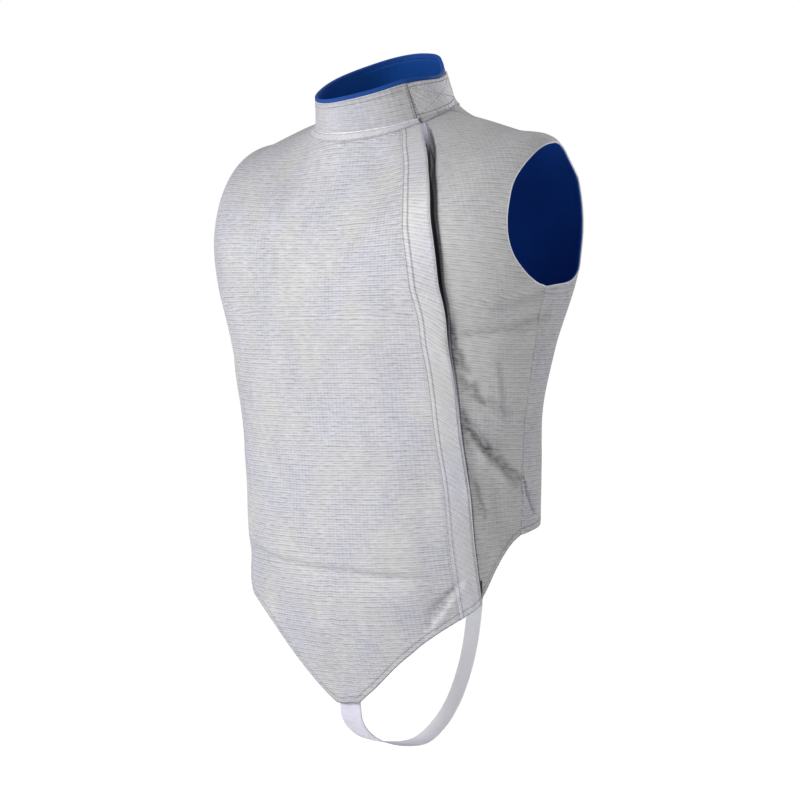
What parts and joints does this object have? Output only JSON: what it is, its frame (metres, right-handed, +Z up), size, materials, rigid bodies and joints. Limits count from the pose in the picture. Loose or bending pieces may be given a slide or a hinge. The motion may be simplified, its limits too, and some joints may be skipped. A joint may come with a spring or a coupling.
{
  "type": "foil lame",
  "caption": "Sleeveless silver fencing vest with a stand collar, an offset zip front under a stitched band, a pointed front hem and an elastic strap, filled out as worn.",
  "frame": {"origin": "middle of the neck opening, level with the points where the shoulder seams meet the neck, where the garment hangs from its wearer", "axes": "+Z up, +X to the wearer's left, -Y to the wearer's front"},
  "size_m": [0.4153, 0.2747, 0.7789],
  "materials": {
    "metallic_cloth": "silver metallic cloth with fine uneven ribs, soft sheen",
    "blue_lining": "plain matte blue woven lining and binding",
    "white_elastic": "off-white knitted elastic",
    "zip_tape": "pale lavender woven zip tape",
    "black_zip": "black moulded zip chain, slider and box"
  },
  "bodies": {
    "root": {"front_right": "metallic_cloth", "front_left": "metallic_cloth", "back": "metallic_cloth", "placket_band": "metallic_cloth", "neck_tape": "metallic_cloth", "collar": "metallic_cloth", "collar_tab": "metallic_cloth", "collar_binding": "blue_lining", "collar_lining": "blue_lining", "lining_front_right": "blue_lining", "lining_front_left": "blue_lining", "lining_back": "blue_lining", "crotch_strap": "white_elastic", "zip_tape_left": "zip_tape", "zip_tape_right": "zip_tape", "zip_chain": "black_zip", "zip_slider": "black_zip", "zip_bottom_box": "black_zip"}
  },
  "joints": []
}
